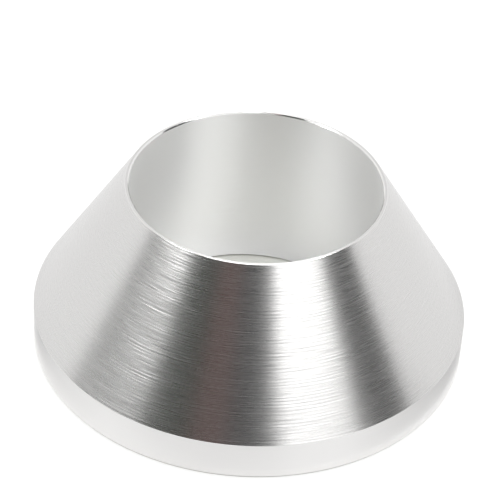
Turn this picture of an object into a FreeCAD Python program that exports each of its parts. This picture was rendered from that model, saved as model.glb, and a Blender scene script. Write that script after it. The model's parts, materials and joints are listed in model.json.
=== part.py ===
"""Centring cone for the round post of a manual wheel clamp, turned in one piece.

The part is an aluminium turning: a straight rim at the large end, a long taper that
runs up to a narrow flat at the small end, and a plain bore from end to end.  The cone
slides down the post, small end first, and its taper centres the hub hole of a wheel.

Frame: +Z is the axis of the bore and points to the small end.  The origin is the
centre of the bore on the flat face of the large end.  Millimetres.
"""

import FreeCAD
import Part

import math
import os

# Overall sizes.
RIM_DIAMETER = 86.0
OVERALL_HEIGHT = 36.5

# The straight rim at the large end.
RIM_HEIGHT = 8.0

# The post is 1 1/2 inch nominal pipe, and the cone slides on it by hand.
POST_DIAMETER = 48.3
POST_CLEARANCE = 0.35

# From the bore to the taper at the small end: a narrow flat and the chamfer inside it.
NOSE_LAND_WIDTH = 0.75

# Edges as the lathe tool and the deburring left them.
BASE_CHAMFER = 0.35
BORE_BASE_CHAMFER = 0.4
MOUTH_CHAMFER = 0.25
SHOULDER_RADIUS = 0.25
NOSE_EDGE_RADIUS = 0.12

# Everything below follows from the sizes above.
RIM_RADIUS = RIM_DIAMETER / 2
BORE_RADIUS = POST_DIAMETER / 2 + POST_CLEARANCE
NOSE_RADIUS = BORE_RADIUS + NOSE_LAND_WIDTH
TAPER_RISE = OVERALL_HEIGHT - RIM_HEIGHT
TAPER_RUN = RIM_RADIUS - NOSE_RADIUS

OUTPUT_FOLDER = "parts"


def at(radius, height):
    """A point of the half section, which lies in the XZ plane."""
    return FreeCAD.Vector(radius, 0, height)


def toward(start, end, distance):
    """The point that lies a distance from start on the way to end."""
    direction = FreeCAD.Vector(end - start)
    direction.normalize()
    return start + direction * distance


class Corner:
    """A corner of the half section, cut flat or rounded, with the edge that finishes it."""

    def __init__(self, before, corner, after, chamfer=0.0, radius=0.0):
        opening = (before - corner).getAngle(after - corner)
        setback = chamfer or radius / math.tan(opening / 2)
        self.entry = toward(corner, before, setback)
        self.leave = toward(corner, after, setback)
        if chamfer:
            self.edge = Part.LineSegment(self.entry, self.leave).toShape()
        else:
            midpoint = (self.entry + self.leave) * 0.5
            centre = toward(corner, midpoint, radius / math.sin(opening / 2))
            middle = toward(centre, corner, radius)
            self.edge = Part.Arc(self.entry, middle, self.leave).toShape()


def half_section():
    """The closed outline that is turned about the axis, starting at the foot of the bore."""
    bore_foot = at(BORE_RADIUS, 0)
    rim_foot = at(RIM_RADIUS, 0)
    shoulder = at(RIM_RADIUS, RIM_HEIGHT)
    nose_outer = at(NOSE_RADIUS, OVERALL_HEIGHT)
    nose_inner = at(BORE_RADIUS, OVERALL_HEIGHT)

    corners = [
        Corner(nose_inner, bore_foot, rim_foot, chamfer=BORE_BASE_CHAMFER),
        Corner(bore_foot, rim_foot, shoulder, chamfer=BASE_CHAMFER),
        Corner(rim_foot, shoulder, nose_outer, radius=SHOULDER_RADIUS),
        Corner(shoulder, nose_outer, nose_inner, radius=NOSE_EDGE_RADIUS),
        Corner(nose_outer, nose_inner, bore_foot, chamfer=MOUTH_CHAMFER),
    ]
    edges = []
    for corner, following in zip(corners, corners[1:] + corners[:1]):
        edges.append(corner.edge)
        edges.append(Part.LineSegment(corner.leave, following.entry).toShape())
    return Part.Wire(edges)


def centring_cone():
    """The whole turning: the half section carried once round the axis."""
    section = Part.Face(half_section())
    return section.revolve(FreeCAD.Vector(0, 0, 0), FreeCAD.Vector(0, 0, 1), 360)


def main():
    """Writes the one piece, and prints the sizes that follow from the named ones."""
    os.makedirs(OUTPUT_FOLDER, exist_ok=True)
    cone = centring_cone()
    if not cone.isValid() or cone.ShapeType != "Solid":
        raise RuntimeError("the turning is not a valid solid")
    cone.exportStep(os.path.join(OUTPUT_FOLDER, "centring_cone.step"))
    slope = math.degrees(math.atan2(TAPER_RUN, TAPER_RISE))
    print(f"bore {2 * BORE_RADIUS:.2f} mm, taper {slope:.2f} degrees from the axis")
    print(f"volume {cone.Volume:.0f} mm3")


main()
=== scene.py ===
"""A centring cone turned from aluminium bar, on a pale table in soft studio light.

The cone is one piece of metal, so it is one closed surface of revolution.  Its faces were cut
by different passes of the lathe, and each pass left its own finish: the taper was dressed with
emery cloth while it spun, the rim was skimmed, the ends were faced and the bore was bored.
Lengths are in metres, unless a name says mm.
"""

import json
import logging
import math
from dataclasses import dataclass
from enum import Enum

import bpy
import numpy as np
from mathutils import Matrix, Vector


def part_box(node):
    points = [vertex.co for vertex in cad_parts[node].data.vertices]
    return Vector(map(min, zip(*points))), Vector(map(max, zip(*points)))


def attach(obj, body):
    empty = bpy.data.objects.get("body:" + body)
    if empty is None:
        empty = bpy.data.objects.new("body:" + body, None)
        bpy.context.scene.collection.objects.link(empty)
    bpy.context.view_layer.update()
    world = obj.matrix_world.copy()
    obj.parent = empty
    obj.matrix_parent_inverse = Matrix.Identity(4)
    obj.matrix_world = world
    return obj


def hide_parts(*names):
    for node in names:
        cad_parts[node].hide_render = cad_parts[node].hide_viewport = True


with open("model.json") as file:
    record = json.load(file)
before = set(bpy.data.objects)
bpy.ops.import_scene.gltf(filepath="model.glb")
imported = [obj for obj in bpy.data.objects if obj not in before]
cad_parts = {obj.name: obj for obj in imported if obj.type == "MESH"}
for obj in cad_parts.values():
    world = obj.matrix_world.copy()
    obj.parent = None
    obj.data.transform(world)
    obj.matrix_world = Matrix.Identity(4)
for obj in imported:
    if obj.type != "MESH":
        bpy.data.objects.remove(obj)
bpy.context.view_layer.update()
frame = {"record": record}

NODE = "centring_cone"
BODY = "root"
MM = 0.001

log = logging.getLogger("centring_cone")


def linear(hex_colour: str, alpha: float = 1.0) -> tuple[float, float, float, float]:
    """Turns an sRGB hex colour into the linear numbers that a shader takes.

    Args:
        hex_colour: Six hex digits after a hash.
        alpha: The fourth number.

    Returns:
        Linear red, green and blue, and alpha.
    """
    parts = np.array([int(hex_colour[i:i + 2], 16) for i in (1, 3, 5)]) / 255
    curved = np.where(parts <= 0.04045, parts / 12.92, ((parts + 0.055) / 1.055) ** 2.4)
    return (*curved.tolist(), alpha)


def add_node(tree: bpy.types.NodeTree, kind: str, settings: dict | None = None,
             inputs: dict | None = None) -> bpy.types.Node:
    """Adds a node, with its settings and with what feeds it.

    Args:
        tree: The node tree.
        kind: The node's type, such as ShaderNodeMath.
        settings: Properties of the node, by name.
        inputs: For an input's name or number, a value or the output socket to link.

    Returns:
        The new node.
    """
    node = tree.nodes.new(kind)
    for name, value in (settings or {}).items():
        setattr(node, name, value)
    for key, value in (inputs or {}).items():
        if isinstance(value, bpy.types.NodeSocket):
            tree.links.new(value, node.inputs[key])
        else:
            node.inputs[key].default_value = value
    return node


class Cut(Enum):
    """The faces of the turning, each with the place of its material on the mesh."""

    TAPER = 0
    RIM = 1
    NOSE = 2
    BORE = 3
    BASE = 4
    EDGE = 5


@dataclass(frozen=True)
class TurnedFinish:
    """Bare aluminium as one pass of the lathe left it.

    The marks run round the axis, so a reflection stays sharp along them and spreads across
    them.  Two sets of marks are large enough to be seen one by one: the feed marks, which
    lie side by side at the tool's feed and fade in and out, and the strokes, short runs of
    finer marks that lean the same way.  Both show where a reflection ends.

    Attributes:
        name: The material's name.
        metal: The metal's colour.
        roughness: How much the marks blur a reflection.
        anisotropy: How much more the reflection spreads across the marks than along them.
        run: The direction in which the tool travelled, outwards and upwards.
        feed_mm: From one feed mark to the next.
        feed_lean: The slope of a feed mark's sides.
        stroke_length_mm: How far one stroke runs round the cone at the rim.
        stroke_width_mm: How wide one stroke is.
        stroke_lean: The most that a stroke leans, along its run and across it, as slopes.
        roughness_spread: How much rougher the roughest strokes are than the smoothest.
    """

    # The middle half of the noise, and the part of it over which a feed mark fades in.
    MIDDLE_OF_NOISE = (0.25, 0.75)
    FADES_IN = (0.35, 0.65)
    # Feed marks drift and fade in patches this many strokes long and feeds wide.
    DRIFT_PATCH = (6, 4)
    FADE_PATCH = (2, 2)
    # How many feeds the drift can put a mark out of its place.
    DRIFT = 1.25
    # The blur runs across the marks, a quarter turn from the tangent.
    ACROSS_THE_MARKS = 0.25

    name: str
    metal: str
    roughness: float
    anisotropy: float
    run: tuple[float, float]
    feed_mm: float = 0.5
    feed_lean: float = 0.01
    stroke_length_mm: float = 9.0
    stroke_width_mm: float = 0.3
    stroke_lean: tuple[float, float] = (0.02, 0.05)
    roughness_spread: float = 0.04

    def material(self, rim_radius: float) -> bpy.types.Material:
        """Makes the material.

        Args:
            rim_radius: The radius at which a stroke has its stated length.

        Returns:
            The new material.
        """
        material = bpy.data.materials.new(self.name)
        material.use_nodes = True
        tree = material.node_tree
        tree.nodes.clear()
        outward, travelled = self.place(tree)
        stroke_mm = (self.stroke_length_mm, self.stroke_width_mm)
        strokes = self.noise(tree, outward, travelled, rim_radius, stroke_mm)
        channels = add_node(tree, "ShaderNodeSeparateXYZ", {}, {0: strokes})
        smoothest, roughest = self.MIDDLE_OF_NOISE
        rough = add_node(tree, "ShaderNodeMapRange", {},
                         {"Value": channels.outputs["Z"],
                          "From Min": smoothest, "From Max": roughest,
                          "To Min": self.roughness - self.roughness_spread / 2,
                          "To Max": self.roughness + self.roughness_spread / 2})
        feed = self.feed_marks(tree, outward, travelled, rim_radius)
        round_the_axis = add_node(tree, "ShaderNodeTangent",
                                  {"direction_type": "UV_MAP", "uv_map": Turning.UV_NAME})
        shader = add_node(tree, "ShaderNodeBsdfPrincipled", {},
                          {"Base Color": linear(self.metal), "Metallic": 1.0,
                           "Roughness": rough.outputs["Result"],
                           "Anisotropic": self.anisotropy,
                           "Anisotropic Rotation": self.ACROSS_THE_MARKS,
                           "Normal": self.leaning(tree, strokes, feed),
                           "Tangent": round_the_axis.outputs["Tangent"]})
        add_node(tree, "ShaderNodeOutputMaterial", {}, {"Surface": shader.outputs[0]})
        return material

    def place(self, tree: bpy.types.NodeTree) -> tuple[bpy.types.NodeSocket, ...]:
        """Finds where a point is on the turning.

        Args:
            tree: The material's node tree.

        Returns:
            Its direction from the axis, and how far the tool had travelled when it cut it,
            r * run[0] + z * run[1].
        """
        place = add_node(tree, "ShaderNodeTexCoord").outputs["Object"]
        level = add_node(tree, "ShaderNodeVectorMath", {"operation": "MULTIPLY"},
                         {0: place, 1: (1, 1, 0)}).outputs[0]
        outward = add_node(tree, "ShaderNodeVectorMath", {"operation": "NORMALIZE"},
                           {0: level}).outputs[0]
        out, up = self.run
        travel = add_node(tree, "ShaderNodeVectorMath", {"operation": "MULTIPLY_ADD"},
                          {0: outward, 1: (out, out, 0), 2: (0, 0, up)}).outputs[0]
        travelled = add_node(tree, "ShaderNodeVectorMath", {"operation": "DOT_PRODUCT"},
                             {0: place, 1: travel}).outputs["Value"]
        return outward, travelled

    def noise(self, tree: bpy.types.NodeTree, outward: bpy.types.NodeSocket,
              travelled: bpy.types.NodeSocket, rim_radius: float,
              patch_mm: tuple[float, float]) -> bpy.types.NodeSocket:
        """Makes noise that is long round the axis and narrow across, with no seam.

        Args:
            tree: The material's node tree.
            outward: The direction from the axis.
            travelled: How far the tool had travelled.
            rim_radius: The radius at which a patch of the noise has its stated length.
            patch_mm: The length and the width of a patch.

        Returns:
            Three unrelated numbers from 0 to 1 for each place, as a vector.
        """
        length_mm, width_mm = patch_mm
        lane = add_node(tree, "ShaderNodeMath", {"operation": "DIVIDE"},
                        {0: travelled, 1: width_mm * MM}).outputs[0]
        lane_up = add_node(tree, "ShaderNodeCombineXYZ", {}, {"Z": lane}).outputs[0]
        patches_round = rim_radius / (length_mm * MM)
        where = add_node(tree, "ShaderNodeVectorMath", {"operation": "MULTIPLY_ADD"},
                         {0: outward, 1: (patches_round,) * 3, 2: lane_up}).outputs[0]
        return add_node(tree, "ShaderNodeTexNoise", {"noise_dimensions": "3D"},
                        {"Vector": where, "Scale": 1.0, "Detail": 1.0,
                         "Roughness": 0.5}).outputs["Color"]

    def patch_mm(self, strokes_and_feeds: tuple[int, int]) -> tuple[float, float]:
        """Gives the length and width of a patch so many strokes long and feeds wide."""
        strokes, feeds = strokes_and_feeds
        return strokes * self.stroke_length_mm, feeds * self.feed_mm

    def feed_marks(self, tree: bpy.types.NodeTree, outward: bpy.types.NodeSocket,
                   travelled: bpy.types.NodeSocket,
                   rim_radius: float) -> bpy.types.NodeSocket:
        """Lays feed marks side by side, sin(2 pi travelled / feed), drifting and fading.

        Args:
            tree: The material's node tree.
            outward: The direction from the axis.
            travelled: How far the tool had travelled.
            rim_radius: The radius at which the patches have their stated length.

        Returns:
            The slope of the marks at each place.
        """
        drift_mm = self.patch_mm(self.DRIFT_PATCH)
        drift = self.noise(tree, outward, travelled, rim_radius, drift_mm)
        drifting = add_node(tree, "ShaderNodeSeparateXYZ", {}, {0: drift})
        fade_mm = self.patch_mm(self.FADE_PATCH)
        fade = self.noise(tree, outward, travelled, rim_radius, fade_mm)
        fading = add_node(tree, "ShaderNodeSeparateXYZ", {}, {0: fade})
        turns = 2 * math.pi / (self.feed_mm * MM)
        early = add_node(tree, "ShaderNodeMath", {"operation": "MULTIPLY"},
                         {0: drifting.outputs["X"], 1: self.DRIFT * 2 * math.pi}).outputs[0]
        phase = add_node(tree, "ShaderNodeMath", {"operation": "MULTIPLY_ADD"},
                         {0: travelled, 1: turns, 2: early}).outputs[0]
        wave = add_node(tree, "ShaderNodeMath", {"operation": "SINE"}, {0: phase}).outputs[0]
        gone, whole = self.FADES_IN
        depth = add_node(tree, "ShaderNodeMapRange", {},
                         {"Value": fading.outputs["Y"], "From Min": gone, "From Max": whole,
                          "To Min": 0.0, "To Max": self.feed_lean}).outputs["Result"]
        return add_node(tree, "ShaderNodeMath", {"operation": "MULTIPLY"},
                        {0: wave, 1: depth}).outputs[0]

    def leaning(self, tree: bpy.types.NodeTree, strokes: bpy.types.NodeSocket,
                feed: bpy.types.NodeSocket) -> bpy.types.NodeSocket:
        """Leans the surface by its strokes and its feed marks.

        Args:
            tree: The material's node tree.
            strokes: Numbers from 0 to 1, even about one half, along and across the run.
            feed: The slope of the feed marks, across the run.

        Returns:
            The leaning normal.
        """
        along, across = self.stroke_lean
        half_feed = add_node(tree, "ShaderNodeMath", {"operation": "MULTIPLY_ADD"},
                             {0: feed, 1: 0.5, 2: 0.5 - across / 2}).outputs[0]
        middle = add_node(tree, "ShaderNodeCombineXYZ", {},
                          {"X": 0.5 - along / 2, "Y": half_feed, "Z": 1.0}).outputs[0]
        slopes = add_node(tree, "ShaderNodeVectorMath", {"operation": "MULTIPLY_ADD"},
                          {0: strokes, 1: (along, across, 0), 2: middle}).outputs[0]
        return add_node(tree, "ShaderNodeNormalMap", {"uv_map": Turning.UV_NAME},
                        {"Color": slopes}).outputs["Normal"]


@dataclass(frozen=True)
class Corner:
    """A corner of the half section and the side that leaves it.

    Attributes:
        radius: Its distance from the axis.
        height: Its height.
        rounding: The radius that rounds it.
        side: The face that follows it.
        steps: Number of steps along that face.
    """

    radius: float
    height: float
    rounding: float
    side: Cut
    steps: int


@dataclass(frozen=True)
class Outline:
    """A closed half section as short steps, with its exact normals.

    Attributes:
        points: The points (r, z), one for each step.
        starts: The outward normal (r, z) at the start of each step.
        ends: The outward normal at the end of each step.
        faces: The number of the face that each step belongs to.
    """

    points: np.ndarray
    starts: np.ndarray
    ends: np.ndarray
    faces: np.ndarray

    @property
    def travelled(self) -> np.ndarray:
        """How far along the outline each point lies, from 0 to 1, with the end repeated."""
        steps = np.linalg.norm(np.roll(self.points, -1, axis=0) - self.points, axis=1)
        total = np.concatenate([[0], np.cumsum(steps)])
        return total / total[-1]


@dataclass
class Turning:
    """The half section of the cone and the surface that it makes when it is turned.

    The frame gives the overall height, the rim's radius and the bore.  The rest are the
    sizes of the design, which the frame's box doesn't show.

    Attributes:
        rim_radius: Outside radius of the large end.
        height: From the flat of the large end to the flat of the small end.
        bore_radius: Radius of the through bore.
        rim_height: Height of the straight rim.
        nose_land: From the bore to the taper at the small end.
        base_chamfer: Broken edge between the rim and the flat of the large end.
        bore_chamfer: Broken edge between the bore and the flat of the large end.
        mouth_chamfer: Broken edge between the bore and the flat of the small end.
        shoulder_radius: Rounding where the taper leaves the rim.
        nose_radius: Rounding where the taper meets the flat at the small end.
        chamfer_radius: Rounding of the two corners of each chamfer.
        segments: Steps round the axis.
    """

    UV_NAME = "turned"
    STEPS_IN_ARC = 6

    rim_radius: float
    height: float
    bore_radius: float
    rim_height: float = 8.0 * MM
    nose_land: float = 0.75 * MM
    base_chamfer: float = 0.35 * MM
    bore_chamfer: float = 0.4 * MM
    mouth_chamfer: float = 0.25 * MM
    shoulder_radius: float = 0.25 * MM
    nose_radius: float = 0.12 * MM
    chamfer_radius: float = 0.06 * MM
    segments: int = 640

    @property
    def taper_run(self) -> tuple[float, float]:
        """The direction of the taper from the rim to the small end, outwards and upwards."""
        inward = self.rim_radius - self.bore_radius - self.nose_land
        rise = self.height - self.rim_height
        slant = math.hypot(inward, rise)
        return -inward / slant, rise / slant

    def corners(self) -> list[Corner]:
        """Lists the corners of the half section, from the foot of the bore outwards."""
        bore, rim, top = self.bore_radius, self.rim_radius, self.height
        foot, edge, mouth = self.bore_chamfer, self.base_chamfer, self.mouth_chamfer
        soft = self.chamfer_radius
        return [
            Corner(bore, foot, soft, Cut.EDGE, 1),
            Corner(bore + foot, 0.0, soft, Cut.BASE, 10),
            Corner(rim - edge, 0.0, soft, Cut.EDGE, 1),
            Corner(rim, edge, soft, Cut.RIM, 5),
            Corner(rim, self.rim_height, self.shoulder_radius, Cut.TAPER, 16),
            Corner(bore + self.nose_land, top, self.nose_radius, Cut.NOSE, 2),
            Corner(bore + mouth, top, soft, Cut.EDGE, 1),
            Corner(bore, top - mouth, soft, Cut.BORE, 14),
        ]

    def outline(self) -> Outline:
        """Works out the half section with its corners rounded.

        At a corner with an opening of w between its two sides, an arc of radius q starts
        q / tan(w / 2) from the corner on each side, and its centre lies q / sin(w / 2) from
        the corner on the line that halves the opening.  Between its first spoke f and its
        last one l, a turn of t apart, the spoke at the share s of the arc is
        (f sin((1 - s) t) + l sin(s t)) / sin t.
        """
        corners = self.corners()
        places = np.array([(corner.radius, corner.height) for corner in corners])
        before = np.roll(places, 1, axis=0) - places
        after = np.roll(places, -1, axis=0) - places
        before /= np.linalg.norm(before, axis=1)[:, None]
        after /= np.linalg.norm(after, axis=1)[:, None]
        half = np.arccos(np.sum(before * after, axis=1)) / 2
        rounding = np.array([corner.rounding for corner in corners])
        setback = (rounding / np.tan(half))[:, None]
        entry, leave = places + before * setback, places + after * setback
        halving = before + after
        halving /= np.linalg.norm(halving, axis=1)[:, None]
        centre = places + halving * (rounding / np.sin(half))[:, None]

        points, starts, ends, faces = [], [], [], []
        share = np.linspace(0, 1, self.STEPS_IN_ARC + 1)[:, None]
        for i, corner in enumerate(corners):
            first = (entry[i] - centre[i]) / corner.rounding
            last = (leave[i] - centre[i]) / corner.rounding
            turn = np.pi - 2 * half[i]
            spokes = (np.sin((1 - share) * turn) * first
                      + np.sin(share * turn) * last) / np.sin(turn)
            points.append(centre[i] + spokes[:-1] * corner.rounding)
            starts.append(spokes[:-1])
            ends.append(spokes[1:])
            faces += [Cut.EDGE.value] * self.STEPS_IN_ARC
            reach = np.linspace(0, 1, corner.steps + 1)[:-1, None]
            onward = entry[(i + 1) % len(corners)]
            points.append(leave[i] + (onward - leave[i]) * reach)
            starts.append(np.tile(last, (corner.steps, 1)))
            ends.append(np.tile(last, (corner.steps, 1)))
            faces += [corner.side.value] * corner.steps
        return Outline(np.vstack(points), np.vstack(starts), np.vstack(ends),
                       np.array(faces))

    def spin(self, section: np.ndarray, turns: np.ndarray) -> np.ndarray:
        """Carries a section round the axis: x = r cos a, y = r sin a, with z unchanged.

        Args:
            section: Points or normals (r, z).
            turns: Which steps round the axis to carry them to.

        Returns:
            Each of them at each of the steps.
        """
        angle = 2 * np.pi * turns / self.segments
        ring = np.stack([np.cos(angle), np.sin(angle)], axis=1)
        spun = np.empty((len(section), len(turns), 3))
        spun[..., :2] = section[:, None, :1] * ring
        spun[..., 2] = section[:, None, 1]
        return spun

    def mesh(self, name: str) -> bpy.types.Mesh:
        """Makes the closed surface, one quad for each step of the outline and of the turn.

        Args:
            name: The mesh's name.

        Returns:
            The mesh, with exact normals and a map whose first axis runs round the cone and
            whose second follows the outline.
        """
        outline = self.outline()
        rows, turns = len(outline.points), self.segments
        here = np.arange(turns)
        onward = (here + 1) % turns
        mesh = bpy.data.meshes.new(name)
        row = np.arange(rows)[:, None] * turns
        next_row = np.roll(row, -1, axis=0)
        quads = np.stack([row + here, row + onward, next_row + onward, next_row + here],
                         axis=-1)
        mesh.from_pydata(self.spin(outline.points, here).reshape(-1, 3), [],
                         quads.reshape(-1, 4))
        mesh.shade_smooth()
        mesh.polygons.foreach_set("material_index",
                                  np.repeat(outline.faces, turns).astype(np.int32))
        normals = [self.spin(outline.starts, here), self.spin(outline.starts, onward),
                   self.spin(outline.ends, onward), self.spin(outline.ends, here)]
        mesh.normals_split_custom_set(np.stack(normals, axis=2).reshape(-1, 3))

        u, v = np.meshgrid(here / turns, outline.travelled[:-1])
        u_next, v_next = np.meshgrid((here + 1) / turns, outline.travelled[1:])
        chart = np.stack([u, v, u_next, v, u_next, v_next, u, v_next], axis=-1)
        layer = mesh.uv_layers.new(name=self.UV_NAME)
        layer.data.foreach_set("uv", chart.astype(np.float32).ravel())
        mesh.update()
        return mesh


@dataclass
class CentringCone:
    """The whole part: one turning with a finish for each of its faces.

    Attributes:
        turning: The shape.
        finishes: The finish of each face.
    """

    turning: Turning
    finishes: dict[Cut, TurnedFinish]

    def build(self) -> bpy.types.Object:
        """Makes the piece, which stands for the CAD node: it hides the node and hangs the
        piece from the body.
        """
        mesh = self.turning.mesh("centring_cone_turned")
        piece = bpy.data.objects.new("centring_cone_turned", mesh)
        bpy.context.scene.collection.objects.link(piece)
        self.dress(piece)
        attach(piece, BODY)
        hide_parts(NODE)
        log.info("%s: %d quads", piece.name, len(mesh.polygons))
        return piece

    def dress(self, piece: bpy.types.Object) -> None:
        """Puts each face's finish in the material place that the mesh names for it."""
        for cut in Cut:
            finish = self.finishes[cut]
            piece.data.materials.append(finish.material(self.turning.rim_radius))


def finishes_for(turning: Turning) -> dict[Cut, TurnedFinish]:
    """Gives each face of the turning its finish.

    Aluminium reflects about nine tenths of the light on a fresh cut; dressed and a little
    oxidised it is nearer three quarters, and almost without colour.  The real feed marks and
    scratches are a tenth of a millimetre apart or less, too fine to show, so each finish
    has them as coarse as it needs for them to be seen.

    Args:
        turning: The turning, whose taper sets the direction of the dressing strokes.

    Returns:
        The finish of each face.
    """
    fresh, dressed, bored = "#ECEBEA", "#D8D7D6", "#F2F2F1"
    upward, outward, both = (0.0, 1.0), (1.0, 0.0), (0.7, 0.7)
    return {
        # Emery cloth was held to the spinning taper.  Its fine scratches lean to both sides,
        # so highlights stretch up and down the cone and break into strokes at their edges.
        Cut.TAPER: TurnedFinish(
            "aluminium_taper_emery_dressed", dressed, 0.275, 0.42, turning.taper_run,
            feed_mm=0.6, feed_lean=0.062, stroke_length_mm=7.0, stroke_width_mm=0.09,
            stroke_lean=(0.0, 0.145)),
        # One light pass of a sharp tool leaves the rim an even, silky band.
        Cut.RIM: TurnedFinish("aluminium_rim_skimmed", fresh, 0.32, 0.8, upward),
        # The narrow flat at the mouth was faced, and shows as a thin bright line.
        Cut.NOSE: TurnedFinish("aluminium_nose_faced", dressed, 0.34, 0.85, outward,
                               feed_mm=0.2, stroke_width_mm=0.2),
        # The bore was cut with a long bar and left as it came.  It is the dullest face, and
        # what it reflects shows as soft streaks from the mouth to the foot.
        Cut.BORE: TurnedFinish("aluminium_bore_bored", bored, 0.48, 0.8, upward),
        # The large end was faced at a coarser feed, which leaves rings that can be counted.
        Cut.BASE: TurnedFinish("aluminium_base_faced", fresh, 0.26, 0.85, outward,
                               feed_lean=0.03, stroke_lean=(0.03, 0.08)),
        # The edges were broken by a touch of the tool and shine like thin wire.
        Cut.EDGE: TurnedFinish("aluminium_edge_broken", fresh, 0.12, 0.2, both,
                               feed_mm=0.1, stroke_width_mm=0.1),
    }


def grid_faces(rows: int, columns: int) -> np.ndarray:
    """Lists the quads of a grid of points, row by row.

    Args:
        rows: Number of quads one way.
        columns: Number of quads the other way.

    Returns:
        Four point numbers for each quad.
    """
    row, column = np.meshgrid(np.arange(rows), np.arange(columns), indexing="ij")
    corner = row * (columns + 1) + column
    below = corner + columns + 1
    return np.stack([corner, below, below + 1, corner + 1], axis=-1).reshape(-1, 4)


@dataclass(frozen=True)
class Card:
    """A lit or dark card that only the metal sees.

    Attributes:
        name: The card's name.
        azimuth: Its two sides, in degrees from the front, positive to the right.
        reach: Its lower and upper edge on a standing card, in degrees above the table, or
            its near and far edge on one that lies on the table, in metres from the axis.
        level: Its brightness, where white paper in the tent is 1.
        tint: Its colour.
        distance: How far from the axis a standing card is; a nearer one hides those behind.
        steps: How many faces it has across and up.
    """

    name: str
    azimuth: tuple[float, float]
    reach: tuple[float, float]
    level: float = 1.0
    tint: str = "#FFFFFF"
    distance: float = 0.9
    steps: tuple[int, int] = (24, 12)

    def places(self, azimuth: np.ndarray, reach: np.ndarray) -> np.ndarray:
        """Bends a standing card round the part.

        A point at azimuth a and elevation e lies at x = d sin a cos e, y = -d cos a cos e,
        z = d sin e, where d is the distance.

        Args:
            azimuth: Azimuths of the points, in radians.
            reach: Their elevations, in degrees.

        Returns:
            The points.
        """
        elevation = np.radians(reach)
        return self.distance * np.stack([np.sin(azimuth) * np.cos(elevation),
                                         -np.cos(azimuth) * np.cos(elevation),
                                         np.sin(elevation)], axis=-1)

    def levels(self, azimuth: np.ndarray) -> np.ndarray:
        """Gives the brightness at each azimuth, which is the same all over."""
        return np.full_like(azimuth, self.level)

    def build(self) -> bpy.types.Object:
        """Makes the card and hides it from all but reflections."""
        across, up = self.steps
        azimuth, reach = np.meshgrid(np.radians(np.linspace(*self.azimuth, across + 1)),
                                     np.linspace(*self.reach, up + 1))
        mesh = bpy.data.meshes.new(self.name)
        places = self.places(azimuth, reach)
        mesh.from_pydata(places.reshape(-1, 3), [], grid_faces(up, across))
        level = mesh.attributes.new("level", "FLOAT", "POINT")
        level.data.foreach_set("value", self.levels(azimuth).ravel())
        material = bpy.data.materials.new(self.name)
        material.use_nodes = True
        tree = material.node_tree
        tree.nodes.clear()
        strength = add_node(tree, "ShaderNodeAttribute", {"attribute_name": "level"})
        glow = add_node(tree, "ShaderNodeEmission", {},
                        {"Color": linear(self.tint), "Strength": strength.outputs["Fac"]})
        add_node(tree, "ShaderNodeOutputMaterial", {}, {"Surface": glow.outputs[0]})
        mesh.materials.append(material)
        card = bpy.data.objects.new(self.name, mesh)
        bpy.context.scene.collection.objects.link(card)
        card.visible_camera = False
        card.visible_diffuse = False
        card.visible_shadow = False
        return card


@dataclass(frozen=True)
class TableCard(Card):
    """A card that lies on the table, in front of the part or beside it.

    Attributes:
        layer: Its place in the stack, where a card of a higher layer covers the others.
    """

    LAYER_HEIGHT = 0.2 * MM

    layer: int = 1

    def places(self, azimuth: np.ndarray, reach: np.ndarray) -> np.ndarray:
        """Lays the card down: x = r sin a, y = -r cos a, just above the table.

        Args:
            azimuth: Azimuths of the points, in radians.
            reach: Their distances from the axis.

        Returns:
            The points.
        """
        above_table = self.LAYER_HEIGHT * self.layer
        return np.stack([reach * np.sin(azimuth), -reach * np.cos(azimuth),
                         above_table + 0 * reach], axis=-1)


@dataclass(frozen=True)
class TableShade(TableCard):
    """A ring on the table, round the part or inside it, brighter on some sides than others.
    Only reflections see it; the rings next to the rim and inside the bore are painted shadow
    of the part on the table.

    Attributes:
        steps: Faces across and outwards, narrow enough for the level to change evenly.
        stops: Pairs of azimuth, in degrees, and level, with an even change between them.
    """

    steps: tuple[int, int] = (120, 1)
    stops: tuple[tuple[float, float], ...] = ()

    def levels(self, azimuth: np.ndarray) -> np.ndarray:
        """Gives the brightness at each azimuth, in straight lines from stop to stop."""
        stop, level = np.array(self.stops).T
        return np.interp(np.degrees(azimuth), stop, level)


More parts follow.
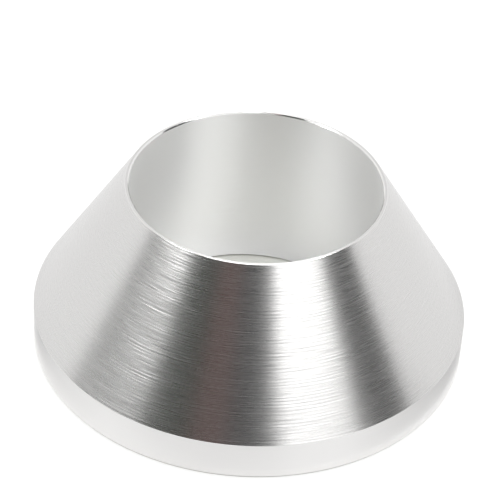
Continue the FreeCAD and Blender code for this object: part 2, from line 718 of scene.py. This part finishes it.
@dataclass
class Studio:
    """A pale table lit from below in a white tent, with cards for the metal to reflect.

    The taper mirrors the cards that stand in front of it and beside it, the rim and the foot
    of the bore mirror those on the table, and the bore also takes light from the high ones.

    Attributes:
        table_radius: How far the table top reaches.
        table_colour: Its colour.
        table_glow: How brightly it is lit from below.
        table_roughness: How matt it is.
        disc_radius: Radius of the unlit disc under the part.
        disc_colour: The disc's colour, which shows at the foot of the bore.
        tent_level: Brightness of the white tent, the unit of every other level.
        overhead_side: Side of the square soft light above the part.
        overhead_height: How high it hangs.
        overhead_watts: Its power.
        cards: The cards, in front, to the right, to the left, behind and on the table.
    """

    table_radius: float = 4.0
    table_colour: str = "#BCBCBB"
    table_glow: float = 0.5
    table_roughness: float = 0.9
    disc_radius: float = 0.0428
    disc_colour: str = "#D7D8D3"
    tent_level: float = 1.0
    overhead_side: float = 0.7
    overhead_height: float = 1.3
    overhead_watts: float = 6.2
    cards: tuple[Card, ...] = (
        # In front: dark cards with a faint tint, and soft boxes over them.
        Card("card_front_left", (-49.5, -24.0), (-3.0, 60.0), 0.03, "#E6FFE0"),
        Card("card_front_warm", (-24.0, -7.0), (-3.0, 60.0), 0.12, "#FFC9C2"),
        Card("card_front_right", (-7.0, 17.0), (-3.0, 50.0), 0.035, "#F2F9FF"),
        Card("card_front_high", (-7.0, 0.0), (50.0, 60.0), 0.035, "#F2F9FF"),
        Card("softbox_front_high", (-64.0, 0.0), (60.5, 76.0), 1.8, distance=0.86),
        Card("softbox_front_top", (0.0, 20.0), (50.5, 76.0), 1.4, distance=0.86),
        # To the right: two soft boxes that make the white band on the taper, then dark cards,
        # and a small bright box high up for the streak in the bore.
        Card("softbox_right", (18.0, 46.5), (22.5, 44.0), 2.5, distance=0.88),
        Card("softbox_right_soft", (46.5, 57.5), (23.0, 41.0), 2.3, distance=0.87),
        Card("card_right", (55.0, 81.8), (-3.0, 46.0), 0.02),
        Card("card_right_edge", (81.8, 98.0), (33.0, 47.0), 0.05),
        Card("softbox_right_high", (68.0, 92.0), (52.0, 66.0), 28.0, distance=0.86),
        # To the left: a grey card with a strip light in front of it, and a small bright box
        # high up for the bore's other streak.
        Card("card_left", (-87.0, -50.0), (-3.0, 39.5), 0.34),
        Card("strip_left", (-78.0, -51.0), (24.5, 39.5), 2.95, distance=0.86),
        Card("softbox_left_high", (-90.0, -68.0), (48.0, 62.0), 14.0, distance=0.87),
        # Behind.
        Card("softbox_back", (150.0, 210.0), (58.0, 74.0), 3.0, distance=0.88),
        # On the table: a ring round the part, two dark cards, and two rings of painted shadow
        # of the part, next to the rim and inside the bore.
        TableShade("table_shade", (-180.0, 180.0), (0.0445, 0.9),
                   stops=((-180.0, 0.86), (-165.0, 0.90), (-145.0, 1.0), (145.0, 1.0),
                          (165.0, 0.90), (180.0, 0.86))),
        TableCard("table_card_front", (-49.5, 17.0), (0.075, 0.9), 0.15, layer=2),
        TableCard("table_card_right", (56.0, 81.0), (0.075, 0.9), 0.30, layer=2),
        # Painted shadow of the part on the table next to the rim. It is darker on the sides,
        # most of all on the right, and the rim reflects it.
        TableShade("table_shade_close", (-180.0, 180.0), (0.0445, 0.06), layer=2,
                   stops=((-180.0, 1.0), (-150.0, 0.96), (-97.0, 0.92), (-81.0, 0.62),
                          (-68.0, 0.82), (-55.0, 0.94), (-40.0, 1.03), (30.0, 0.98),
                          (45.0, 0.88), (60.0, 0.74), (81.0, 0.57), (97.0, 0.80),
                          (150.0, 0.94), (180.0, 1.0))),
        # Painted shade on the floor inside the bore, next to its wall. It is darker on the
        # sides, most of all on the right, and the foot of the bore reflects it.
        TableShade("table_shade_inside", (-180.0, 180.0), (0.017, 0.0243),
                   stops=((-180.0, 0.72), (-150.0, 0.88), (-130.0, 0.75), (-105.0, 0.35),
                          (-60.0, 0.60), (60.0, 0.60), (90.0, 0.15), (120.0, 0.28),
                          (150.0, 0.42), (165.0, 0.64), (180.0, 0.72))),
    )

    def build(self) -> None:
        """Makes the table, the tent, the light above and the cards."""
        self.build_table()
        self.build_tent()
        self.build_overhead()
        for card in self.cards:
            card.build()
            log.info("%s: from %g to %g degrees", card.name, *card.azimuth)

    def build_table(self) -> None:
        """Makes the table top, a sheet of opal acrylic lit from below round an unlit disc."""
        self.build_ring("table", (self.disc_radius, self.table_radius), self.table_colour,
                        self.table_glow)
        self.build_ring("table_disc", (0.0, self.disc_radius), self.disc_colour, 0.0)

    def build_ring(self, name: str, radii: tuple[float, float], colour: str,
                   glow: float) -> None:
        """Makes one flat ring of the table top, matt and glowing evenly.

        Args:
            name: The ring's name.
            radii: Its inner and outer radius.
            colour: Its colour.
            glow: How brightly it is lit from below, where white paper in the tent is 1.
        """
        turns = 96
        angle = np.linspace(0, 2 * np.pi, turns + 1)
        radius = np.array(radii)[:, None]
        points = np.stack([radius * np.cos(angle), radius * np.sin(angle), 0 * radius * angle],
                          axis=-1)
        mesh = bpy.data.meshes.new(name)
        mesh.from_pydata(points.reshape(-1, 3), [], grid_faces(1, turns)[:, ::-1])
        material = bpy.data.materials.new(name + "_opal_acrylic")
        material.use_nodes = True
        tree = material.node_tree
        tree.nodes.clear()
        shader = add_node(tree, "ShaderNodeBsdfPrincipled", {},
                          {"Base Color": linear(colour), "Roughness": self.table_roughness,
                           "Specular IOR Level": 0.0, "Emission Color": linear("#FFFFFF"),
                           "Emission Strength": glow})
        add_node(tree, "ShaderNodeOutputMaterial", {}, {"Surface": shader.outputs[0]})
        mesh.materials.append(material)
        ring = bpy.data.objects.new(name, mesh)
        bpy.context.scene.collection.objects.link(ring)

    def build_tent(self) -> None:
        """Makes the white tent as an even sky."""
        world = bpy.data.worlds.new("white_tent")
        bpy.context.scene.world = world
        world.use_nodes = True
        sky = world.node_tree.nodes["Background"]
        sky.inputs["Color"].default_value = linear("#FFFFFF")
        sky.inputs["Strength"].default_value = self.tent_level

    def build_overhead(self) -> None:
        """Hangs a square soft light over the part."""
        lamp = bpy.data.lights.new("overhead", "AREA")
        lamp.shape = "SQUARE"
        lamp.size = self.overhead_side
        lamp.energy = self.overhead_watts
        light = bpy.data.objects.new("overhead", lamp)
        light.location = (0, 0, self.overhead_height)
        light.visible_camera = False
        bpy.context.scene.collection.objects.link(light)


@dataclass(frozen=True)
class StudioCamera:
    """The camera, in front of the part and above it.

    Attributes:
        setback: How far in front of the bore's axis it stands, in rim radii.
        height: How far above the table it stands, in rim radii.
        tilt: How far it looks down, in degrees.
        turn: How far it looks to the left of the axis, in degrees.
        roll: How far it leans about its line of sight, in degrees.
        lens_mm: Its focal length.
        sensor_mm: The width of its sensor.
        clip: The nearest and the farthest that it sees, in metres.
    """

    setback: float = 7.656
    height: float = 6.364
    tilt: float = 37.57
    turn: float = 0.086
    roll: float = 3.398
    lens_mm: float = 152.14
    sensor_mm: float = 36.0
    clip: tuple[float, float] = (0.01, 20.0)

    def build(self, rim_radius: float) -> bpy.types.Object:
        """Makes the camera and sets it as the scene's.

        Its right and up directions are those of a level camera, turned by roll about the
        line of sight.

        Args:
            rim_radius: The radius that the distances count in.

        Returns:
            The camera.
        """
        tilt, turn, roll = map(math.radians, (self.tilt, self.turn, self.roll))
        ahead = Vector((0, math.cos(tilt), -math.sin(tilt)))
        right = Vector((1, 0, 0))
        about = Matrix.Rotation(turn, 3, "Z")
        ahead, right = about @ ahead, about @ right
        up = right.cross(ahead)
        leaned = math.cos(roll) * right + math.sin(roll) * up
        upright = -math.sin(roll) * right + math.cos(roll) * up
        data = bpy.data.cameras.new("camera")
        data.sensor_width = self.sensor_mm
        data.lens = self.lens_mm
        data.clip_start, data.clip_end = self.clip
        camera = bpy.data.objects.new("camera", data)
        camera.matrix_world = Matrix((leaned, upright, -ahead)).transposed().to_4x4()
        camera.location = (0, -self.setback * rim_radius, self.height * rim_radius)
        bpy.context.scene.collection.objects.link(camera)
        bpy.context.scene.camera = camera
        return camera


def sizes_from_frame() -> Turning:
    """Reads the turning's overall sizes from the CAD box and its bore from the mounts."""
    low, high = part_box(NODE)
    bore = next(m for m in frame["record"]["mounts"] if m["name"] == "bore")
    return Turning(rim_radius=(high.x - low.x) / 2, height=high.z - low.z,
                   bore_radius=bore["dims"]["r_mm"] * MM)


def main() -> None:
    """Builds the camera, the part and the studio."""
    logging.basicConfig(level=logging.INFO, format="%(message)s")
    view = bpy.context.scene.view_settings
    view.view_transform = "Standard"
    turning = sizes_from_frame()
    StudioCamera().build(turning.rim_radius)
    CentringCone(turning, finishes_for(turning)).build()
    Studio().build()


if __name__ == "__main__":
    main()
